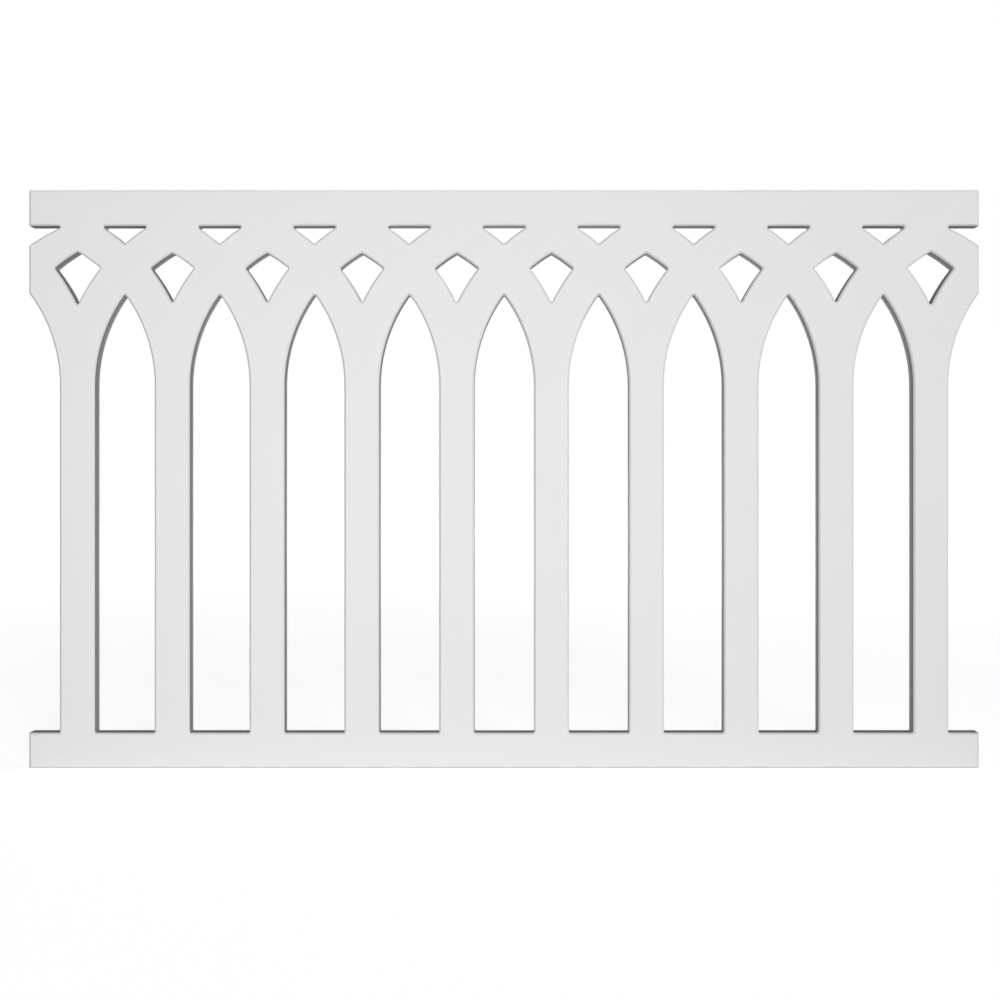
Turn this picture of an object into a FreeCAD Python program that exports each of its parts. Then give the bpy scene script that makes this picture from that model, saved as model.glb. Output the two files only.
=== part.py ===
"""Picket fence panel with interlaced gothic arches, cut from one sheet.

Every picket forks at the springing line into two curved bands of its own width. The bands of
neighbouring pickets cross and run up into the top rail, which leaves four kinds of opening:
pointed lancets between the pickets, kites above them, small spandrels under the top rail, and
half a lancet and half a spandrel open to the side at each end. Every edge of the front and back
faces is chamfered. Millimetres, +X along the panel, +Z up, the front faces -Y. The origin is
the middle of the bottom edge.
"""
import FreeCAD, Part
import math
import os

import Sketcher

# Driving sizes: (alias, value, meaning)
SIZES = (
    ("picket_count", 10, "pickets in the panel"),
    ("picket_pitch", 116.67, "centre to centre of neighbouring pickets"),
    ("picket_width", 43.1, "width of a picket and of the bands it forks into"),
    ("end_allowance", 0.85, "what each end stands beyond half a pitch from its last picket"),
    ("panel_height", 711.2, "bottom edge to top edge"),
    ("sheet_thickness", 25.4, "front face to back face"),
    ("top_rail_height", 43.9, "height of the top rail"),
    ("bottom_rail_height", 43.6, "height of the bottom rail"),
    ("arch_radius", 190.5, "radius of the lancets' arcs"),
    ("spandrel_depth", 22.2, "underside of the top rail down to a spandrel's point"),
    ("spandrel_growth", 1.1, "what a spandrel is cut wider than the bands on each side"),
    ("kite_inset", 1.5, "what a kite is cut tighter than the bands on each side"),
    ("end_kite_inset", 0.2, "the same for the kites above the first and last picket"),
    ("edge_chamfer", 2.2, "width and depth of the chamfer round every opening and the outside"),
)

# Sizes that follow from the driving ones: (alias, formula, meaning)
DERIVED = (
    ("panel_length", "=picket_count * picket_pitch + 2 * end_allowance", "end to end"),
    ("gap_width", "=picket_pitch - picket_width", "clear width between two pickets"),
    ("half_gap", "=gap_width / 2", "middle of a gap to the picket beside it"),
    ("band_radius", "=arch_radius + picket_width", "outer radius of the curved bands"),
    ("own_centre", "=arch_radius + picket_width / 2", "picket middle to its own arc centres"),
    ("gap_centre", "=own_centre - picket_pitch / 2", "gap middle to the arc centres beside it"),
    ("next_centre", "=own_centre - picket_pitch", "picket middle to its neighbours' arc centres"),
    ("kite_lower_radius", "=band_radius + kite_inset", "lower sides of a kite"),
    ("kite_upper_radius", "=arch_radius - kite_inset", "upper sides of a kite"),
    ("end_kite_lower_radius", "=band_radius + end_kite_inset", "lower sides of an end kite"),
    ("end_kite_upper_radius", "=arch_radius - end_kite_inset", "upper sides of an end kite"),
    ("spandrel_radius", "=band_radius - spandrel_growth", "sides of a spandrel"),
    ("crossing_rise", "=sqrt(spandrel_radius ^ 2 - gap_centre ^ 2)", "springing to spandrel point"),
    ("spandrel_top", "=crossing_rise + spandrel_depth", "springing line to the top rail"),
    ("springing", "=panel_height - top_rail_height - spandrel_top", "bottom to springing line"),
    ("straight_length", "=springing - bottom_rail_height", "straight part of a picket"),
    ("first_picket", "=-(picket_count - 1) / 2 * picket_pitch", "middle of the first picket"),
    ("second_picket", "=first_picket + picket_pitch", "middle of the second picket"),
    ("first_gap", "=first_picket + picket_pitch / 2", "middle of the first gap"),
    ("end_gap", "=first_picket - picket_pitch / 2", "middle of the half gap at the end"),
)


def origin():
    """Return the reference to a sketch's origin."""
    return -1, 1


def x_axis():
    """Return the reference to a sketch's horizontal axis."""
    return -1


def start_of(edge):
    """Return the reference to the point where an edge starts."""
    return edge, 1


def end_of(edge):
    """Return the reference to the point where an edge ends."""
    return edge, 2


def centre_of(arc):
    """Return the reference to an arc's centre."""
    return arc, 3


def make_sheet(doc):
    """Lay the driving sizes and the ones that follow from them out in one sheet."""
    sheet = doc.addObject("Spreadsheet::Sheet", "Sizes")
    for row, (alias, value, meaning) in enumerate(SIZES + DERIVED, start=1):
        sheet.set(f"A{row}", meaning)
        sheet.set(f"B{row}", str(value))
        sheet.setAlias(f"B{row}", alias)
    doc.recompute()
    return sheet


def origin_feature(body, role):
    """Return the body's own origin plane or axis of that role."""
    for feature in body.Origin.OriginFeatures:
        if feature.Role == role:
            return feature
    raise RuntimeError(f"no origin feature {role}")


def rise(radius, offset):
    """Return how far above its centre an arc is at a sideways offset."""
    return math.sqrt(radius ** 2 - offset ** 2)


class Outline:
    """A sketch parallel to the faces whose sizes are bound to the sheet.

    An opening's sketch has its origin on the springing line. It is drawn where the chamfer
    begins, and drawn again on the front face with the chamfer's width added all round.
    """

    def __init__(self, body, sheet, name, middle=None, eased=False):
        self.sheet = sheet
        self.chamfers = 1 if eased else 0
        self.sketch = body.newObject("Sketcher::SketchObject", name)
        self.sketch.AttachmentSupport = [(origin_feature(body, "XZ_Plane"), "")]
        self.sketch.MapMode = "FlatFace"
        if middle:
            level = "Sizes.sheet_thickness / 2" if eased else "Sizes.sheet_thickness / 2 - Sizes.edge_chamfer"
            self.sketch.setExpression("AttachmentOffset.Base.x", f"Sizes.{middle}")
            self.sketch.setExpression("AttachmentOffset.Base.y", "Sizes.springing")
            self.sketch.setExpression("AttachmentOffset.Base.z", level)

    def at(self, alias, grow=0):
        """Return a size, with this many chamfer widths added on the eased outline."""
        return float(getattr(self.sheet, alias)) + grow * self.chamfers * float(self.sheet.edge_chamfer)

    def line(self, start, end):
        """Add a straight edge."""
        edge = Part.LineSegment(FreeCAD.Vector(*start, 0), FreeCAD.Vector(*end, 0))
        return self.sketch.addGeometry(edge, False)

    def arc(self, centre_x, radius, start, end):
        """Add an arc, counter-clockwise, about a centre on the springing line."""
        circle = Part.Circle(FreeCAD.Vector(centre_x, 0, 0), FreeCAD.Vector(0, 0, 1), radius)
        angles = [math.atan2(y, x - centre_x) for x, y in (start, end)]
        return self.sketch.addGeometry(Part.ArcOfCircle(circle, *angles), False)

    def rule(self, kind, *where):
        """Add a constraint without a size."""
        self.sketch.addConstraint(Sketcher.Constraint(kind, *where))

    def size(self, kind, *where, alias, grow=0):
        """Add a constraint bound to a size, with chamfer widths added on the eased outline."""
        constraint = Sketcher.Constraint(kind, *where, self.at(alias, grow))
        index = self.sketch.addConstraint(constraint)
        formula = f"Sizes.{alias} + {grow * self.chamfers} * Sizes.edge_chamfer"
        self.sketch.setExpression(f"Constraints[{index}]", formula)

    def close(self, *edges):
        """Join the end of each edge to the start of the next one."""
        for edge, following in zip(edges, edges[1:] + edges[:1]):
            self.rule("Coincident", *end_of(edge), *start_of(following))

    def arc_centre(self, arc, side, alias):
        """Hold an arc's centre on the springing line, left (-1) or right (1) of the origin."""
        ends = (*origin(), *centre_of(arc)) if side > 0 else (*centre_of(arc), *origin())
        self.rule("PointOnObject", *centre_of(arc), x_axis())
        self.size("DistanceX", *ends, alias=alias)


def draw_board(outline):
    """Draw the blank sheet."""
    half, top = outline.at("panel_length") / 2, outline.at("panel_height")
    corners = ((-half, 0), (half, 0), (half, top), (-half, top))
    edges = [outline.line(a, b) for a, b in zip(corners, corners[1:] + corners[:1])]
    bottom, right, upper, left = edges
    outline.close(*edges)
    for edge in (bottom, upper):
        outline.rule("Horizontal", edge)
    for edge in (right, left):
        outline.rule("Vertical", edge)
    outline.rule("Symmetric", *start_of(bottom), *end_of(bottom), *origin())
    outline.size("DistanceX", *start_of(bottom), *end_of(bottom), alias="panel_length")
    outline.size("DistanceY", *start_of(right), *end_of(right), alias="panel_height")


def draw_lancet(outline):
    """Draw the pointed opening between two pickets."""
    half, depth = outline.at("half_gap", 1), outline.at("straight_length", 1)
    radius = outline.at("arch_radius", 1)
    centre = radius - half
    apex = (0, rise(radius, centre))
    sill = outline.line((-half, -depth), (half, -depth))
    right = outline.line((half, -depth), (half, 0))
    right_arc = outline.arc(-centre, radius, (half, 0), apex)
    left_arc = outline.arc(centre, radius, apex, (-half, 0))
    left = outline.line((-half, 0), (-half, -depth))
    outline.close(sill, right, right_arc, left_arc, left)
    outline.rule("Horizontal", sill)
    outline.rule("Vertical", right)
    outline.rule("Vertical", left)
    outline.rule("PointOnObject", *centre_of(right_arc), x_axis())
    outline.rule("PointOnObject", *centre_of(left_arc), x_axis())
    outline.rule("PointOnObject", *end_of(right), x_axis())
    outline.rule("Symmetric", *end_of(right), *start_of(left), *origin())
    outline.rule("Equal", right_arc, left_arc)
    outline.size("Radius", right_arc, alias="arch_radius", grow=1)
    outline.size("DistanceX", *start_of(sill), *end_of(sill), alias="gap_width", grow=2)
    outline.size("DistanceY", *start_of(right), *end_of(right), alias="straight_length", grow=1)


def draw_kite(outline, lower_alias="kite_lower_radius", upper_alias="kite_upper_radius"):
    """Draw the kite above a picket: the picket's own bands below, its neighbours' above."""
    own, beside = outline.at("own_centre"), outline.at("next_centre")
    lower, upper = outline.at(lower_alias, -1), outline.at(upper_alias, 1)
    across = (own ** 2 - beside ** 2 - lower ** 2 + upper ** 2) / (2 * (own + beside))
    left, right = (-across, rise(lower, own - across)), (across, rise(lower, own - across))
    foot, tip = (0, rise(lower, own)), (0, rise(upper, beside))
    low_right = outline.arc(own, lower, right, foot)
    low_left = outline.arc(-own, lower, foot, left)
    high_left = outline.arc(beside, upper, tip, left)
    high_right = outline.arc(-beside, upper, right, tip)
    outline.rule("Coincident", *end_of(low_right), *start_of(low_left))
    outline.rule("Coincident", *end_of(low_left), *end_of(high_left))
    outline.rule("Coincident", *start_of(high_left), *end_of(high_right))
    outline.rule("Coincident", *start_of(high_right), *start_of(low_right))
    outline.arc_centre(low_right, 1, "own_centre")
    outline.arc_centre(low_left, -1, "own_centre")
    outline.arc_centre(high_left, 1, "next_centre")
    outline.arc_centre(high_right, -1, "next_centre")
    for arc in (low_right, low_left):
        outline.size("Radius", arc, alias=lower_alias, grow=-1)
    for arc in (high_left, high_right):
        outline.size("Radius", arc, alias=upper_alias, grow=1)


def draw_end_kite(outline):
    """Draw the kite above the first picket."""
    draw_kite(outline, "end_kite_lower_radius", "end_kite_upper_radius")


def draw_spandrel(outline):
    """Draw the opening between a crossing of two bands and the top rail."""
    centre, radius = outline.at("gap_centre"), outline.at("spandrel_radius", -1)
    top = outline.at("spandrel_top", 1)
    corner, foot = centre - rise(radius, top), (0, rise(radius, centre))
    right = outline.arc(centre, radius, (corner, top), foot)
    left = outline.arc(-centre, radius, foot, (-corner, top))
    rail = outline.line((-corner, top), (corner, top))
    outline.close(right, left, rail)
    outline.rule("Horizontal", rail)
    outline.arc_centre(right, 1, "gap_centre")
    outline.arc_centre(left, -1, "gap_centre")
    outline.rule("Equal", right, left)
    outline.size("Radius", right, alias="spandrel_radius", grow=-1)
    outline.size("DistanceY", *origin(), *end_of(rail), alias="spandrel_top", grow=1)


def draw_end_bay(outline):
    """Draw the half lancet at the end, open to the side."""
    half, depth = outline.at("half_gap", 1), outline.at("straight_length", 1)
    radius, past = outline.at("arch_radius", 1), outline.at("end_allowance")
    centre = radius - half
    crown = (-past, rise(radius, centre - past))
    sill = outline.line((-past, -depth), (half, -depth))
    side = outline.line((half, -depth), (half, 0))
    arc = outline.arc(-centre, radius, (half, 0), crown)
    mouth = outline.line(crown, (-past, -depth))
    outline.close(sill, side, arc, mouth)
    outline.rule("Horizontal", sill)
    outline.rule("Vertical", side)
    outline.rule("Vertical", mouth)
    outline.rule("PointOnObject", *centre_of(arc), x_axis())
    outline.rule("PointOnObject", *end_of(side), x_axis())
    outline.size("Radius", arc, alias="arch_radius", grow=1)
    outline.size("DistanceX", *origin(), *start_of(side), alias="half_gap", grow=1)
    outline.size("DistanceX", *start_of(sill), *origin(), alias="end_allowance")
    outline.size("DistanceY", *start_of(side), *end_of(side), alias="straight_length", grow=1)


def draw_end_notch(outline):
    """Draw the half spandrel at the end, open to the side."""
    centre, radius = outline.at("gap_centre"), outline.at("spandrel_radius", -1)
    top, past = outline.at("spandrel_top", 1), outline.at("end_allowance")
    corner, foot = centre - rise(radius, top), (-past, rise(radius, centre + past))
    arc = outline.arc(centre, radius, (corner, top), foot)
    mouth = outline.line(foot, (-past, top))
    rail = outline.line((-past, top), (corner, top))
    outline.close(arc, mouth, rail)
    outline.rule("Vertical", mouth)
    outline.rule("Horizontal", rail)
    outline.arc_centre(arc, 1, "gap_centre")
    outline.size("Radius", arc, alias="spandrel_radius", grow=-1)
    outline.size("DistanceX", *start_of(mouth), *origin(), alias="end_allowance")
    outline.size("DistanceY", *origin(), *end_of(rail), alias="spandrel_top", grow=1)


# Openings: (name, how it is drawn, middle of the first one, copies along the panel). Without
# a number of copies, one opening is at each end.
OPENINGS = (
    ("end_bay", draw_end_bay, "end_gap", None),
    ("end_notch", draw_end_notch, "end_gap", None),
    ("end_kite", draw_end_kite, "first_picket", None),
    ("kite", draw_kite, "second_picket", "Sizes.picket_count - 2"),
    ("spandrel", draw_spandrel, "first_gap", "Sizes.picket_count - 1"),
    ("lancet", draw_lancet, "first_gap", "Sizes.picket_count - 1"),
)


def drawn(body, sheet, draw, name, middle=None, eased=False):
    """Return the sketch of an outline."""
    outline = Outline(body, sheet, name, middle, eased)
    draw(outline)
    return outline.sketch


def make_board(body, sheet):
    """Make the front half of the blank sheet and chamfer its outer edges."""
    board = body.newObject("PartDesign::Pad", "board")
    board.Profile = drawn(body, sheet, draw_board, "board_outline")
    board.setExpression("Length", "Sizes.sheet_thickness / 2")
    body.Document.recompute()
    front = [f"Face{number}" for number, face in enumerate(board.Shape.Faces, start=1)
             if face.normalAt(0, 0).y < -0.999]
    easing = body.newObject("PartDesign::Chamfer", "board_easing")
    easing.Base = (board, front)
    easing.setExpression("Size", "Sizes.edge_chamfer")
    body.Tip = easing
    body.Document.recompute()


def cut_opening(body, sheet, name, draw, middle):
    """Cut the first opening of a kind through the sheet and chamfer its edge."""
    outline = drawn(body, sheet, draw, f"{name}_outline", middle)
    eased_outline = drawn(body, sheet, draw, f"{name}_eased_outline", middle, eased=True)
    opening = body.newObject("PartDesign::Pocket", name)
    opening.Profile = outline
    opening.Type = "ThroughAll"
    opening.SideType = "Symmetric"
    easing = body.newObject("PartDesign::SubtractiveLoft", f"{name}_easing")
    easing.Profile = eased_outline
    easing.Sections = [outline]
    easing.Ruled = True
    for cut in (opening, easing):
        cut.Refine = False
    body.Document.recompute()
    return opening, easing


def repeat_opening(body, name, cuts, copies):
    """Repeat an opening along the panel at the pickets' pitch, or at the other end."""
    if copies:
        row = body.newObject("PartDesign::LinearPattern", f"{name}_row")
        row.Direction = (origin_feature(body, "X_Axis"), [""])
        row.setExpression("Occurrences", copies)
        row.setExpression("Length", f"({copies} - 1) * Sizes.picket_pitch")
    else:
        row = body.newObject("PartDesign::Mirrored", f"{name}_pair")
        row.MirrorPlane = (origin_feature(body, "YZ_Plane"), [""])
    row.Originals = list(cuts)
    row.Refine = False
    body.Tip = row
    body.Document.recompute()
    return row.Occurrences if copies else 2


def add_back_half(body):
    """Mirror the front half of the sheet to its back."""
    back = body.newObject("PartDesign::Mirrored", "back_half")
    back.TransformMode = "Whole shape"
    back.MirrorPlane = (origin_feature(body, "XZ_Plane"), [""])
    body.Tip = back
    body.Document.recompute()


def build_panel(doc, sheet):
    """Cut every kind of opening from the sheet and make its back like its front."""
    body = doc.addObject("PartDesign::Body", "picket_panel")
    body.Label = "picket_panel"
    make_board(body, sheet)
    for name, draw, middle, copies in OPENINGS:
        volume = body.Shape.Volume
        opening, easing = cut_opening(body, sheet, name, draw, middle)
        first = volume - opening.Shape.Volume
        count = repeat_opening(body, name, (opening, easing), copies)
        if first <= 0 or volume - body.Shape.Volume <= count * first:
            raise RuntimeError(f"{name}: the openings or their chamfers cut too little")
    add_back_half(body)
    return body


def check(doc, bodies):
    """Stop if anything in the document failed or a sub-part is not one valid solid."""
    for thing in doc.Objects:
        if "Invalid" in thing.State or "Error" in thing.State:
            raise RuntimeError(f"{thing.Label} failed: {thing.State}")
    for body in bodies:
        shape = body.Shape
        if shape.isNull() or not shape.isValid() or len(shape.Solids) != 1:
            raise RuntimeError(f"{body.Label} is not one valid solid")


def main():
    """Build the panel and write it."""
    doc = FreeCAD.newDocument("picket_fence_panel")
    bodies = [build_panel(doc, make_sheet(doc))]
    check(doc, bodies)
    os.makedirs("parts", exist_ok=True)
    for body in bodies:
        body.Shape.exportStep(f"parts/{body.Label}.step")
        box = body.Shape.BoundBox
        print(f"{body.Label}: {box.XLength:.2f} x {box.YLength:.2f} x {box.ZLength:.2f} mm, "
              f"{body.Shape.Volume / 1e6:.3f} dm3")


main()
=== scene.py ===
"""Picket fence panel: the routed sheet with its finish, on a plain studio stage.

The sheet is drawn again from the panel's own sizes with finer arcs than the frame's and with
softened arrises, and stands for the frame's node. Metres, +X along the panel, +Z up, the front
faces -Y.
"""
import cmath
import itertools
import math

import bmesh
import bpy
from bpy.props import FloatProperty, FloatVectorProperty, IntProperty, PointerProperty
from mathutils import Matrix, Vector
from mathutils.geometry import tessellate_polygon


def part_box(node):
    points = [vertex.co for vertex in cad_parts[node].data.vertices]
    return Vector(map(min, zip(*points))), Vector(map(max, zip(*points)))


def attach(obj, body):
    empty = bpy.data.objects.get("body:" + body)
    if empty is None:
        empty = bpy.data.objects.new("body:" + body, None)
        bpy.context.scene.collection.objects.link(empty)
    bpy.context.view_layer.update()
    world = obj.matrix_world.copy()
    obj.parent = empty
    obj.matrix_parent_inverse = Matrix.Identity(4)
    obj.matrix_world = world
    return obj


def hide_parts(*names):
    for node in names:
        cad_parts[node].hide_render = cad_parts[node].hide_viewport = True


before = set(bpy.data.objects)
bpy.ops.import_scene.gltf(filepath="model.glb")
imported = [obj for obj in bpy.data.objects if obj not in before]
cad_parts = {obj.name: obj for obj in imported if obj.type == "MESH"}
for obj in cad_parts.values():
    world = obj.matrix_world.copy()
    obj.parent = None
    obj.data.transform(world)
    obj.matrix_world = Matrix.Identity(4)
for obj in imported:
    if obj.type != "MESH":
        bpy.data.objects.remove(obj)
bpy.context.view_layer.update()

bl_info = {
    "name": "Picket Fence Panel",
    "version": (1, 0, 0),
    "blender": (4, 5, 0),
    "location": "3D View > Sidebar > Fence",
    "description": "Builds an openwork fence panel with interlaced arches and its studio stage",
    "category": "Object",
}

NODE = "picket_panel"
PIECE = "openwork_panel"
BODY = "root"
MM = 0.001
LOW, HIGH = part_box(NODE)

# Finishes of the sheet's surfaces, in the order of its materials
# The cut finish is grey as painted shade on the openings' walls
SKIN, EASED, CUT_PAINTED_SHADE = range(3)
CUTTER_RUN = "run_of_the_cutter"

# How finely the sheet is drawn, with angles in radians
LEAST_BEND = 0.1  # a corner that bends less keeps one point
CORNER_STEP = math.radians(12)  # longest step round the radius that the cutter leaves
EASING_TURN = math.radians(45)  # what the surface turns at each arris of the chamfer
ARRIS_STEPS = 3
SHARP_FOLD = math.radians(25)  # an edge that folds more than this shows as a line
RIM_REACH = 0.01 * MM  # two points this near to the board's rim lie on it

# Cellular PVC, with the marks of its making in the sizes they are drawn at
PVC_IOR = 1.53
DIMPLE, CLOUD = 2.5 * MM, 60 * MM
FEED_MARK, CELL = 1.8 * MM, 0.8 * MM
SKIN_SHINE, EASED_SHINE, CUT_SHINE = 0.5, 0.4, 0.05  # open foam hardly shines
WAVE_FACTOR = 20  # the wave texture multiplies its scale by this

# Lamps: (name, place in metres, width and height in metres, watts). The key stands far off on the
# right and lights the front evenly. The front strip lifts the panel's middle, the side strip the
# walls that face right, the top strip the edges that face up, and the back lamp the rear face.
LAMPS = (
    ("key", (3.7, -12.0, 2.05), (2.4, 2.4), 860.0),
    ("front", (-0.3, -1.5, 0.32), (0.8, 0.2), 7.4),
    ("side", (3.2, -0.16, 0.5), (0.12, 0.8), 11.0),
    ("top", (0.0, 0.0, 2.6), (1.6, 0.02), 11.5),
    ("back", (0.0, 9.0, 0.06), (1.2, 0.1), 600.0),
)
AIM = Vector((0.0, 0.0, 0.355))  # the panel's middle

FLOOR_REACH = 12.0  # metres from the panel to the floor's edge
GLOW_NEAR, GLOW_FAR = (0.3, 0.855), (4.5, 1.0)  # (metres from the panel, strength)
WHITE = (1.0, 1.0, 1.0, 1.0)
SENSOR_WIDTH = 36.0  # millimetres
CAMERA_SHIFT = (-0.0286, -0.0169)  # shares of the sensor's width


def hex_colour(code):
    """Turn an sRGB hex value into linear red, green and blue."""
    parts = [int(code[i:i + 2], 16) / 255 for i in (1, 3, 5)]
    return tuple(c / 12.92 if c <= 0.04045 else ((c + 0.055) / 1.055) ** 2.4 for c in parts)


def length(name, description, millimetres):
    """Declare a length that is given in millimetres."""
    return FloatProperty(name=name, description=description, default=millimetres * MM, min=0.0,
                         unit="LENGTH", precision=4)


class PanelSizes(bpy.types.PropertyGroup):
    """Sizes of the routed sheet."""

    picket_count: IntProperty(name="Pickets", description="Pickets in the panel", default=10, min=2)
    picket_pitch: length("Pitch", "Centre to centre of neighbouring pickets", 116.67)
    picket_width: length("Picket width", "Width of a picket and of the bands it forks into", 43.1)
    panel_length: length("Length", "End to end", (HIGH.x - LOW.x) / MM)
    panel_height: length("Height", "Bottom edge to top edge", (HIGH.z - LOW.z) / MM)
    sheet_thickness: length("Thickness", "Front face to back face", (HIGH.y - LOW.y) / MM)
    top_rail: length("Top rail", "Height of the top rail", 43.9)
    bottom_rail: length("Bottom rail", "Height of the bottom rail", 43.6)
    arch_radius: length("Arch radius", "Radius of the lancets' arcs", 190.5)
    spandrel_depth: length("Spandrel depth", "Top rail down to a spandrel's point", 22.2)
    spandrel_growth: length("Spandrel growth", "What a spandrel is cut wider than the bands", 1.1)
    end_spandrel_reach: length("End spandrel reach", "Panel's end to a half spandrel's point", 43.4)
    end_spandrel_depth: length("End spandrel depth", "Height of a half spandrel at the end", 24.4)
    kite_inset: length("Kite inset", "What a kite is cut tighter than the bands", 1.5)
    end_kite_inset: length("End kite inset", "The same above the first and last picket", 0.2)
    chamfer: length("Chamfer", "Width and depth of the chamfer round every edge", 2.2)
    cutter_radius: length("Cutter radius", "Radius left in the corners of the openings", 1.6)
    arris: length("Arris", "Radius that softens both arrises of the chamfer", 0.5)
    chord: length("Chord", "Longest straight step along an arc", 4.0)


class PanelFinish(bpy.types.PropertyGroup):
    """Colours and gloss of the sheet."""

    skin_colour: FloatVectorProperty(name="Skin", description="Colour of the calendered faces",
                                     subtype="COLOR", default=hex_colour("#EBEBEB"))
    # The walls' grey is painted shade: the cut foam is white, and this colour darkens the walls as
    # shade would
    cut_painted_shade_colour: FloatVectorProperty(name="Cut", description="Colour of the routed walls",
                                    subtype="COLOR", default=hex_colour("#B4B4B4"))
    skin_roughness: FloatProperty(name="Skin roughness", description="Roughness of the faces",
                                  default=0.6, min=0.0, max=1.0, subtype="FACTOR")
    cut_roughness: FloatProperty(name="Cut roughness", description="Roughness of the routed walls",
                                 default=0.8, min=0.0, max=1.0, subtype="FACTOR")


class StageSettings(bpy.types.PropertyGroup):
    """Floor, lamps and camera."""

    floor_colour: FloatVectorProperty(name="Floor", description="Colour of the floor",
                                      subtype="COLOR", default=hex_colour("#DCDCDC"))
    lamp_level: FloatProperty(name="Lamps", description="Share of every lamp's power",
                              default=1.0, min=0.0)
    ambient: FloatProperty(name="Ambient", description="Light that the room gives from all round",
                           default=0.04, min=0.0)
    camera_distance: length("Camera distance", "Camera to the front face", 1939.0)
    camera_height: length("Camera height", "Height of the camera over the floor", 350.8)
    camera_offset: length("Camera offset", "Camera to the right of the panel's middle", 30.2)
    lens: FloatProperty(name="Lens", description="Focal length", default=56.785, min=1.0,
                        unit="CAMERA")


def corner(x, z, centre=None):
    """Return a corner of an outline and, where the edge that leaves it is an arc, its centre."""
    return complex(x, z), centre


def rise(radius, offset):
    """Return how far above its centre an arc is at a sideways offset."""
    return math.sqrt(radius ** 2 - offset ** 2)


def lancet(sizes, places, middle):
    """Return the pointed opening between two pickets."""
    half, foot, spring = places["half_gap"], sizes.bottom_rail, places["springing"]
    reach = sizes.arch_radius - half
    apex = spring + rise(sizes.arch_radius, reach)
    return [corner(middle - half, foot),
            corner(middle - half, spring, complex(middle + reach, spring)),
            corner(middle, apex, complex(middle - reach, spring)),
            corner(middle + half, spring),
            corner(middle + half, foot)]


def kite(sizes, places, middle, inset):
    """Return the kite above a picket, between its own bands and its neighbours'."""
    own, spring = places["own_centre"], places["springing"]
    beside = own - sizes.picket_pitch
    lower, upper = places["band_radius"] + inset, sizes.arch_radius - inset
    across = (own ** 2 - beside ** 2 - lower ** 2 + upper ** 2) / (2 * (own + beside))
    side = spring + rise(lower, own - across)
    return [corner(middle, spring + rise(lower, own), complex(middle - own, spring)),
            corner(middle - across, side, complex(middle + beside, spring)),
            corner(middle, spring + rise(upper, beside), complex(middle - beside, spring)),
            corner(middle + across, side, complex(middle + own, spring))]


def spandrel(places, middle):
    """Return the opening between a crossing of two bands and the top rail."""
    reach, radius = places["gap_centre"], places["spandrel_radius"]
    spring, top = places["springing"], places["spandrel_top"]
    half = reach - rise(radius, top)
    return [corner(middle, spring + rise(radius, reach), complex(middle - reach, spring)),
            corner(middle - half, spring + top),
            corner(middle + half, spring + top, complex(middle + reach, spring))]


def arc_centre(start, end, radius):
    """Return the centre of the arc of that radius that goes from start to end and bends left."""
    half = (end - start) / 2
    return start + half + 1j * half / abs(half) * rise(radius, abs(half))


def outside(sizes, places):
    """Return the sheet's outer outline, with half a lancet and half a spandrel at each end."""
    end, top = sizes.panel_length / 2, sizes.panel_height
    middle, spring = places["last_picket"] + sizes.picket_pitch / 2, places["springing"]
    reach = sizes.arch_radius - places["half_gap"]
    rail = spring + places["spandrel_top"]
    low = complex(end, rail - sizes.end_spandrel_depth)
    point = complex(end - sizes.end_spandrel_reach, rail)
    right = [corner(end, 0), corner(end, sizes.bottom_rail),
             corner(middle - places["half_gap"], sizes.bottom_rail),
             corner(middle - places["half_gap"], spring, complex(middle + reach, spring)),
             corner(end, spring + rise(sizes.arch_radius, middle + reach - end)),
             (low, arc_centre(low, point, places["spandrel_radius"])), (point, None),
             corner(end, rail), corner(end, top)]
    points = [-place.conjugate() for place, _ in reversed(right)]
    centres = [-centre.conjugate() if centre else None for _, centre in reversed(right[:-1])]
    return right + list(zip(points, centres + [None]))


def outlines(sizes):
    """Return the outer outline and every opening, each with the sheet on the left of its edges."""
    places = {
        "half_gap": (sizes.picket_pitch - sizes.picket_width) / 2,
        "band_radius": sizes.arch_radius + sizes.picket_width,
        "own_centre": sizes.arch_radius + sizes.picket_width / 2,
        "last_picket": (sizes.picket_count - 1) / 2 * sizes.picket_pitch,
    }
    places["gap_centre"] = places["own_centre"] - sizes.picket_pitch / 2
    places["spandrel_radius"] = places["band_radius"] - sizes.spandrel_growth
    places["spandrel_top"] = (rise(places["spandrel_radius"], places["gap_centre"])
                              + sizes.spandrel_depth)
    places["springing"] = sizes.panel_height - sizes.top_rail - places["spandrel_top"]
    pickets = [sizes.picket_pitch * i - places["last_picket"] for i in range(sizes.picket_count)]
    gaps = [x + sizes.picket_pitch / 2 for x in pickets[:-1]]
    insets = [sizes.kite_inset] * len(pickets)
    insets[0] = insets[-1] = sizes.end_kite_inset
    return ([outside(sizes, places)]
            + [lancet(sizes, places, x) for x in gaps]
            + [spandrel(places, x) for x in gaps]
            + [kite(sizes, places, x, inset) for x, inset in zip(pickets, insets)])


def turn(start, end, centre):
    """Return the angle that an arc turns through, positive when counter-clockwise."""
    return cmath.phase((end - centre) / (start - centre))


def carrier(start, end, centre, inset):
    """Return an edge moved into the sheet: a line's point and direction, or a centre and radius."""
    if centre is None:
        direction = (end - start) / abs(end - start)
        return start + 1j * direction * inset, direction
    side = 1 if turn(start, end, centre) > 0 else -1
    return centre, abs(start - centre) - side * inset


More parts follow.
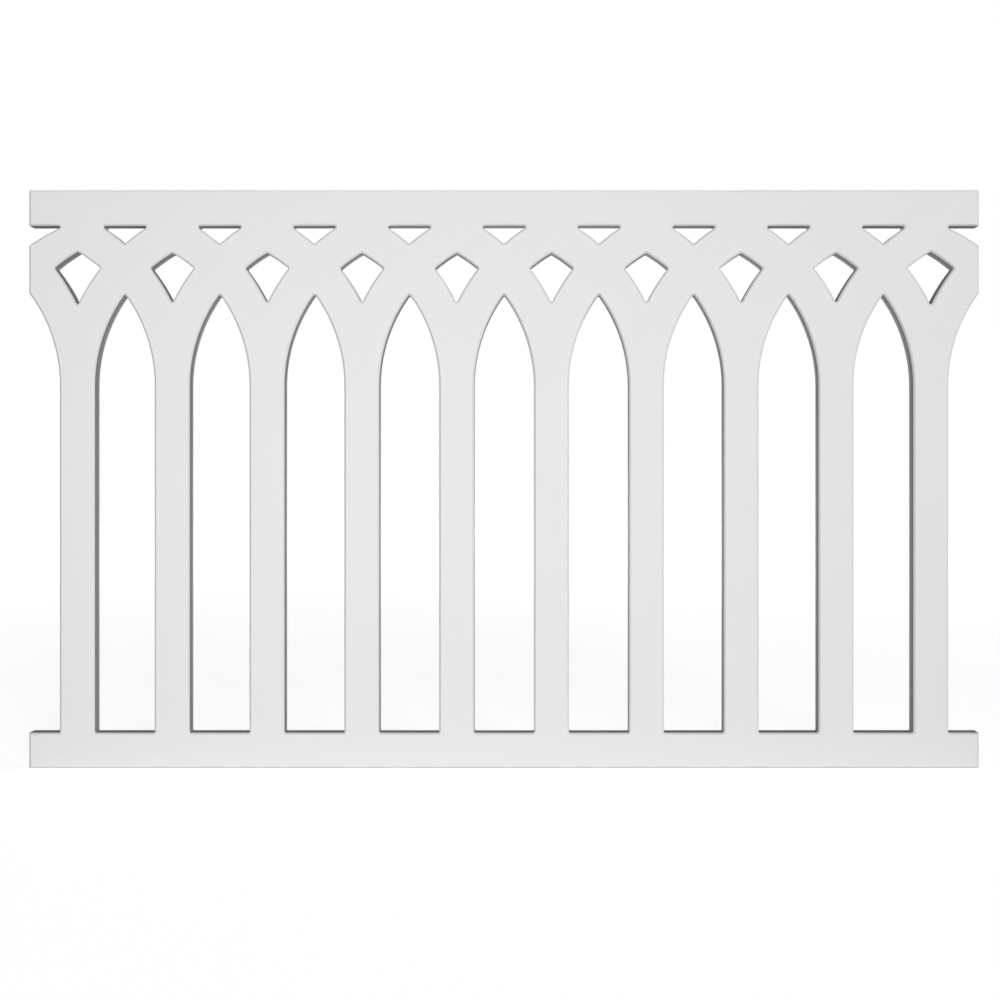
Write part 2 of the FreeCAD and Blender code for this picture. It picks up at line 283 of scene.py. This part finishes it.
def meeting(first, second, near):
    """Return the point next to the given one where two carriers meet."""
    (a, u), (b, v) = first, second
    if isinstance(u, complex) and isinstance(v, complex):
        return a + u * ((b - a) * v.conjugate()).imag / (u * v.conjugate()).imag
    if isinstance(u, complex):
        (a, u), (b, v) = (b, v), (a, u)
    if isinstance(v, complex):
        along = ((a - b) * v.conjugate()).real
        half = math.sqrt(max(u ** 2 - abs(b + v * along - a) ** 2, 0.0))
        found = [b + v * (along + half), b + v * (along - half)]
    else:
        gap = abs(b - a)
        along = (gap ** 2 + u ** 2 - v ** 2) / (2 * gap)
        across = 1j * math.sqrt(max(u ** 2 - along ** 2, 0.0))
        found = [a + (b - a) / gap * (along + across), a + (b - a) / gap * (along - across)]
    return min(found, key=lambda point: abs(point - near))


def heading(edge, at_end):
    """Return the direction of travel at the start or the end of an edge."""
    start, end, centre = edge
    if centre is None:
        return (end - start) / abs(end - start)
    spoke = (end if at_end else start) - centre
    return 1j * spoke / abs(spoke) * (1 if turn(start, end, centre) > 0 else -1)


def into_sheet(edge, point):
    """Return the direction from a point in an opening straight into the edge beside it."""
    start, end, centre = edge
    if centre is None:
        return 1j * heading(edge, False)
    return (centre - point) / abs(centre - point) * (1 if turn(start, end, centre) > 0 else -1)


def arc_points(centre, spoke, sweep, steps):
    """Return points round a centre from the end of a spoke on, in equal steps of the sweep."""
    return [centre + spoke * cmath.exp(1j * sweep * s / steps) for s in range(steps + 1)]


def corner_points(before, after, inset, radius):
    """Return the points at a corner of the moved outline.

    A corner that points away from the openings is one sharp point. In a corner of an opening the
    path turns right, and the cutter leaves its radius there.
    """
    bend = cmath.phase(heading(after, False) / heading(before, True))
    if bend > -LEAST_BEND:
        return [meeting(carrier(*before, inset), carrier(*after, inset), before[1])]
    centre = meeting(carrier(*before, -radius), carrier(*after, -radius), before[1])
    first, last = into_sheet(before, centre), into_sheet(after, centre)
    sweep = cmath.phase(last / first)
    return arc_points(centre, first * (radius + inset), sweep, math.ceil(abs(sweep) / CORNER_STEP))


def loop_points(outline, inset, sizes):
    """Return points along an outline that is moved into the sheet, arcs in short chords."""
    count = len(outline)
    edges = [(outline[i][0], outline[(i + 1) % count][0], outline[i][1]) for i in range(count)]
    corners = [corner_points(edges[i - 1], edges[i], inset, sizes.cutter_radius)
               for i in range(count)]
    points = []
    for i, (start, end, centre) in enumerate(edges):
        points += corners[i]
        if centre is not None:
            steps = max(2, math.ceil(abs(end - start) / sizes.chord))
            begin, finish = corners[i][-1] - centre, corners[(i + 1) % count][0] - centre
            points += arc_points(centre, begin, cmath.phase(finish / begin), steps)[1:-1]
    return points


def edge_profile(sizes):
    """Return (inset, depth) from the front face over the softened chamfer on to the wall."""
    chamfer, face = sizes.chamfer, -sizes.sheet_thickness / 2
    wall = face + chamfer
    soft = sizes.arris * math.tan(EASING_TURN / 2)
    slope = soft / math.sqrt(2)
    profile = []
    for before, at, after in (
            ((chamfer + soft, face), (chamfer, face), (chamfer - slope, face + slope)),
            ((slope, wall - slope), (0.0, wall), (0.0, wall + soft))):
        for s in range(ARRIS_STEPS + 1):
            t = s / ARRIS_STEPS
            profile.append(tuple((1 - t) ** 2 * p + 2 * t * (1 - t) * q + t ** 2 * r
                                 for p, q, r in zip(before, at, after)))
    return profile


def on_rim(a, b, sizes):
    """Tell whether two points of a wall lie on the board's own top, bottom or end."""
    end = sizes.panel_length / 2
    return any(abs(a[axis] - place) + abs(b[axis] - place) < RIM_REACH
               for axis, place in ((0, end), (0, -end), (2, 0.0), (2, sizes.panel_height)))


def distances(points):
    """Return how far along a row of points each of them lies."""
    return [0.0, *itertools.accumulate(math.dist(a, b) for a, b in zip(points, points[1:]))]


def wall(outline, first, sizes):
    """Draw the eased wall along one outline, with its points numbered from first on.

    Returns its rings of points from the front face to the back, and its faces as (numbers of the
    points, finish, runs of the cutter). The openings' walls carry a grey that is painted shade;
    the rim keeps the skin's white.
    """
    half = edge_profile(sizes)
    profile = half + [(inset, -depth) for inset, depth in reversed(half)]
    rings = [[(p.real, depth, p.imag) for p in loop_points(outline, inset, sizes)]
             for inset, depth in profile]
    middle = rings[len(rings) // 2]
    along, across = distances(middle + middle[:1]), distances(profile)
    count, faces = len(middle), []
    for k, ring in enumerate(rings[:-1]):
        near, far = first + k * count, first + (k + 1) * count
        for i in range(count):
            j = (i + 1) % count
            # The openings' walls take the grey of painted shade; the rim keeps the skin's white
            cut = k == len(half) - 1 and not on_rim(ring[i], ring[j], sizes)
            faces.append(((near + i, far + i, far + j, near + j), CUT_PAINTED_SHADE if cut else EASED,
                          ((along[i], across[k]), (along[i], across[k + 1]),
                           (along[i + 1], across[k + 1]), (along[i + 1], across[k]))))
    return rings, faces


def cover(rings, verts, flip):
    """Fill one face of the sheet between the rings of its outlines, turned over for the back."""
    index = [v for ring in rings for v in ring]
    flat = [[Vector((verts[v][0], verts[v][2], 0.0)) for v in ring] for ring in rings]
    faces = []
    for triangle in tessellate_polygon(flat):
        a, b, c = (index[v] for v in triangle)
        area = ((verts[b][0] - verts[a][0]) * (verts[c][2] - verts[a][2])
                - (verts[c][0] - verts[a][0]) * (verts[b][2] - verts[a][2]))
        if (area < 0) != flip:
            b, c = c, b
        faces.append(((a, b, c), SKIN, [(verts[v][0], verts[v][2]) for v in (a, b, c)]))
    return faces


def panel_mesh(sizes):
    """Build the sheet: two faces with openings, joined by chamfered walls."""
    verts, faces, front, back = [], [], [], []
    for outline in outlines(sizes):
        first = len(verts)
        rings, strips = wall(outline, first, sizes)
        verts += itertools.chain(*rings)
        faces += strips
        front.append(range(first, first + len(rings[0])))
        back.append(range(len(verts) - len(rings[-1]), len(verts)))
    faces += cover(front, verts, False) + cover(back, verts, True)
    mesh = bpy.data.meshes.new(PIECE)
    mesh.from_pydata(verts, [], [numbers for numbers, _, _ in faces])
    mesh.set_sharp_from_angle(angle=SHARP_FOLD)
    layer = mesh.uv_layers.new(name=CUTTER_RUN)
    for polygon, (_, finish, runs) in zip(mesh.polygons, faces):
        polygon.material_index = finish
        polygon.use_smooth = finish != SKIN
        for loop, run in zip(polygon.loop_indices, runs):
            layer.data[loop].uv = run
    mesh.update()
    return mesh


def check_closed(mesh):
    """Stop if the mesh is not one closed skin that faces outwards."""
    solid = bmesh.new()
    solid.from_mesh(mesh)
    loose = sum(len(edge.link_faces) != 2 for edge in solid.edges)
    volume = solid.calc_volume(signed=True)
    solid.free()
    if loose or volume <= 0:
        raise RuntimeError(f"the sheet is not closed: {loose} loose edges, volume {volume:.6f}")


def add_node(tree, kind, values=None, links=None, **settings):
    """Add a node with its settings, the values of its inputs and the links into them."""
    node = tree.nodes.new(kind)
    for name, value in settings.items():
        setattr(node, name, value)
    for socket, value in (values or {}).items():
        node.inputs[socket].default_value = value
    for socket, source in (links or {}).items():
        tree.links.new(source, node.inputs[socket])
    return node


def new_material(name):
    """Return an empty node material of that name and its node tree."""
    material = bpy.data.materials.new(name)
    material.use_nodes = True
    material.node_tree.nodes.clear()
    return material, material.node_tree


def noise(tree, place, size, detail):
    """Return patches of about that size."""
    return add_node(tree, "ShaderNodeTexNoise", {"Scale": 1 / size, "Detail": detail},
                    {"Vector": place}).outputs["Fac"]


def relief(tree, height, strength, depth, under=None):
    """Return the normal of a surface with bumps of that depth, over another if one is given."""
    links = {"Height": height, "Normal": under} if under else {"Height": height}
    return add_node(tree, "ShaderNodeBump", {"Strength": strength, "Distance": depth},
                    links).outputs["Normal"]


def add_pvc(tree, colour, roughness, patches, normal, shade, swing, shine):
    """Shade rigid PVC whose colour and roughness change a little from patch to patch."""
    bright = tuple(colour) + (1.0,)
    dull = tuple(c * shade for c in colour) + (1.0,)
    tint = add_node(tree, "ShaderNodeMix", {"A": dull, "B": bright}, {"Factor": patches},
                    data_type="RGBA")
    rough = add_node(tree, "ShaderNodeMapRange",
                     {"To Min": roughness - swing, "To Max": roughness + swing},
                     {"Value": patches})
    shader = add_node(tree, "ShaderNodeBsdfPrincipled",
                      {"IOR": PVC_IOR, "Specular IOR Level": shine},
                      {"Base Color": tint.outputs["Result"], "Roughness": rough.outputs["Result"],
                       "Normal": normal})
    add_node(tree, "ShaderNodeOutputMaterial", links={"Surface": shader.outputs["BSDF"]})


def calendered_pvc(finish):
    """Foamed PVC sheet with a calendered skin: a smooth, soft white with a trace of orange peel."""
    material, tree = new_material("calendered_cellular_pvc")
    place = add_node(tree, "ShaderNodeTexCoord").outputs["Object"]
    # The skin's dimples are about 0.8 mm across and are drawn at 2.5 mm to show at this scale.
    peel = relief(tree, noise(tree, place, DIMPLE, detail=2.0), strength=0.25, depth=0.02 * MM)
    # Cooling leaves slow changes of gloss, about 60 mm across.
    cloud = noise(tree, place, CLOUD, detail=3.0)
    add_pvc(tree, finish.skin_colour, finish.skin_roughness, cloud, peel,
            shade=0.985, swing=0.05, shine=SKIN_SHINE)
    return material


def routed_pvc(name, colour, roughness, shine):
    """The same sheet where a cutter has run: matt, with feed marks and small open cells."""
    material, tree = new_material(name)
    run = add_node(tree, "ShaderNodeUVMap", uv_map=CUTTER_RUN).outputs["UV"]
    place = add_node(tree, "ShaderNodeTexCoord").outputs["Object"]
    # A router leaves a feed mark about every 0.6 mm, drawn at 1.8 mm to show at this scale.
    feed = add_node(tree, "ShaderNodeTexWave",
                    {"Scale": math.tau / (WAVE_FACTOR * FEED_MARK), "Distortion": 0.6,
                     "Detail": 1.0},
                    {"Vector": run}, bands_direction="X").outputs["Fac"]
    # The cells are about 0.2 mm across and are drawn at 0.8 mm.
    cells = noise(tree, place, CELL, detail=2.0)
    marks = relief(tree, feed, strength=0.3, depth=0.05 * MM)
    pits = relief(tree, cells, strength=0.3, depth=0.05 * MM, under=marks)
    add_pvc(tree, colour, roughness, cells, pits, shade=0.96, swing=0.08, shine=shine)
    return material


class FENCE_OT_build_panel(bpy.types.Operator):
    """Build the routed sheet and its finish"""

    bl_idname = "fence.build_panel"
    bl_label = "Build panel"

    def execute(self, context):
        sizes, finish = context.scene.panel_sizes, context.scene.panel_finish
        mesh = panel_mesh(sizes)
        check_closed(mesh)
        # The easing and the rim lie in the dense skin, and the openings' walls in the open foam,
        # whose grey cut colour is painted shade.
        mesh.materials.append(calendered_pvc(finish))
        mesh.materials.append(routed_pvc("eased_dense_skin_pvc", finish.skin_colour,
                                         finish.skin_roughness, EASED_SHINE))
        mesh.materials.append(routed_pvc("routed_core_painted_shade_pvc", finish.cut_painted_shade_colour,
                                         finish.cut_roughness, CUT_SHINE))
        panel = bpy.data.objects.new(PIECE, mesh)
        context.scene.collection.objects.link(panel)
        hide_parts(NODE)
        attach(panel, BODY)
        return {"FINISHED"}


def seen_directly(tree):
    """Return 1 for rays from the camera, a glossy surface or glass, and 0 for the rest."""
    path = add_node(tree, "ShaderNodeLightPath").outputs
    seen = path["Is Camera Ray"]
    for ray in ("Is Glossy Ray", "Is Transmission Ray"):
        seen = add_node(tree, "ShaderNodeMath", {}, {0: seen, 1: path[ray]},
                        operation="MAXIMUM").outputs[0]
    return seen


def paper_floor(stage):
    """Matt background paper: it takes the panel's shadow and is otherwise seen as white."""
    material, tree = new_material("white_background_paper")
    paper = add_node(tree, "ShaderNodeBsdfDiffuse", {"Color": tuple(stage.floor_colour) + (1.0,)})
    place = add_node(tree, "ShaderNodeTexCoord").outputs["Object"]
    away = add_node(tree, "ShaderNodeVectorMath", {}, {0: place}, operation="LENGTH")
    # The key lights the paper less the farther it is from the panel; the glow makes up for that.
    (near, weak), (far, strong) = GLOW_NEAR, GLOW_FAR
    share = add_node(tree, "ShaderNodeMapRange",
                     {"From Min": near, "From Max": far, "To Min": weak, "To Max": strong},
                     {"Value": away.outputs["Value"]})
    lift = add_node(tree, "ShaderNodeMath", {},
                    {0: seen_directly(tree), 1: share.outputs["Result"]}, operation="MULTIPLY")
    glow = add_node(tree, "ShaderNodeEmission", links={"Strength": lift.outputs[0]})
    both = add_node(tree, "ShaderNodeAddShader", links={0: paper.outputs[0], 1: glow.outputs[0]})
    add_node(tree, "ShaderNodeOutputMaterial", links={"Surface": both.outputs[0]})
    return material


def add_floor(scene, stage):
    """Lay the background paper under the panel and far out on all sides."""
    mesh = bpy.data.meshes.new("floor")
    corners = [(x * FLOOR_REACH, y * FLOOR_REACH, 0)
               for x, y in ((-1, -1), (1, -1), (1, 1), (-1, 1))]
    mesh.from_pydata(corners, [], [(0, 1, 2, 3)])
    mesh.materials.append(paper_floor(stage))
    floor = bpy.data.objects.new("floor", mesh)
    floor.location.z = LOW.z
    scene.collection.objects.link(floor)


def white_room(scene, stage):
    """Light the room faintly from all round and show it as white."""
    scene.world = bpy.data.worlds.new("white_room")
    scene.world.use_nodes = True
    tree = scene.world.node_tree
    tree.nodes.clear()
    room = add_node(tree, "ShaderNodeBackground", {"Color": WHITE, "Strength": stage.ambient})
    white = add_node(tree, "ShaderNodeBackground", {"Color": WHITE, "Strength": 1.0})
    both = add_node(tree, "ShaderNodeMixShader",
                    links={0: seen_directly(tree), 1: room.outputs[0], 2: white.outputs[0]})
    add_node(tree, "ShaderNodeOutputWorld", links={"Surface": both.outputs[0]})


def add_lamps(scene, stage):
    """Hang the key, which lights panel and floor, and the rest, which light the panel alone."""
    alone = bpy.data.collections.new("panel_alone")
    alone.objects.link(bpy.data.objects[PIECE])
    for name, place, (width, height), watts in LAMPS:
        lamp = bpy.data.lights.new(name, "AREA")
        lamp.shape = "RECTANGLE"
        lamp.size, lamp.size_y = width, height
        lamp.energy = watts * stage.lamp_level
        holder = bpy.data.objects.new(name, lamp)
        holder.location = place
        holder.rotation_euler = (AIM - Vector(place)).to_track_quat("-Z", "Y").to_euler()
        holder.visible_camera = False
        if name != "key":
            holder.light_linking.receiver_collection = alone
        scene.collection.objects.link(holder)


def add_camera(scene, stage):
    """Set the camera square to the front face, with the shift that the framing needs."""
    camera = bpy.data.cameras.new("camera")
    camera.lens = stage.lens
    camera.sensor_width = SENSOR_WIDTH
    camera.shift_x, camera.shift_y = CAMERA_SHIFT
    holder = bpy.data.objects.new("camera", camera)
    holder.location = (stage.camera_offset, LOW.y - stage.camera_distance, stage.camera_height)
    holder.rotation_euler = (math.radians(90), 0, 0)
    scene.collection.objects.link(holder)
    scene.camera = holder


class FENCE_OT_set_stage(bpy.types.Operator):
    """Lay the floor, hang the lamps and set the camera"""

    bl_idname = "fence.set_stage"
    bl_label = "Set stage"

    def execute(self, context):
        scene, stage = context.scene, context.scene.stage_settings
        add_floor(scene, stage)
        white_room(scene, stage)
        add_lamps(scene, stage)
        add_camera(scene, stage)
        scene.view_settings.view_transform = "Standard"
        return {"FINISHED"}


class FENCE_PT_sidebar(bpy.types.Panel):
    """List the panel's sizes, finish and stage"""

    bl_idname = "FENCE_PT_sidebar"
    bl_label = "Picket fence panel"
    bl_space_type = "VIEW_3D"
    bl_region_type = "UI"
    bl_category = "Fence"

    def draw(self, context):
        for group, operator in (("panel_sizes", FENCE_OT_build_panel), ("panel_finish", None),
                                ("stage_settings", FENCE_OT_set_stage)):
            settings = getattr(context.scene, group)
            column = self.layout.column(align=True)
            for name in settings.__annotations__:
                column.prop(settings, name)
            if operator:
                column.operator(operator.bl_idname)


GROUPS = {"panel_sizes": PanelSizes, "panel_finish": PanelFinish, "stage_settings": StageSettings}
CLASSES = (*GROUPS.values(), FENCE_OT_build_panel, FENCE_OT_set_stage, FENCE_PT_sidebar)


def register():
    """Add the classes and hang the settings on the scene."""
    for cls in CLASSES:
        bpy.utils.register_class(cls)
    for name, group in GROUPS.items():
        setattr(bpy.types.Scene, name, PointerProperty(type=group))


def unregister():
    """Take the settings and the classes away."""
    for name in GROUPS:
        delattr(bpy.types.Scene, name)
    for cls in reversed(CLASSES):
        bpy.utils.unregister_class(cls)


def main():
    """Build the panel and its stage."""
    register()
    bpy.ops.fence.build_panel()
    bpy.ops.fence.set_stage()


if __name__ == "__main__":
    main()
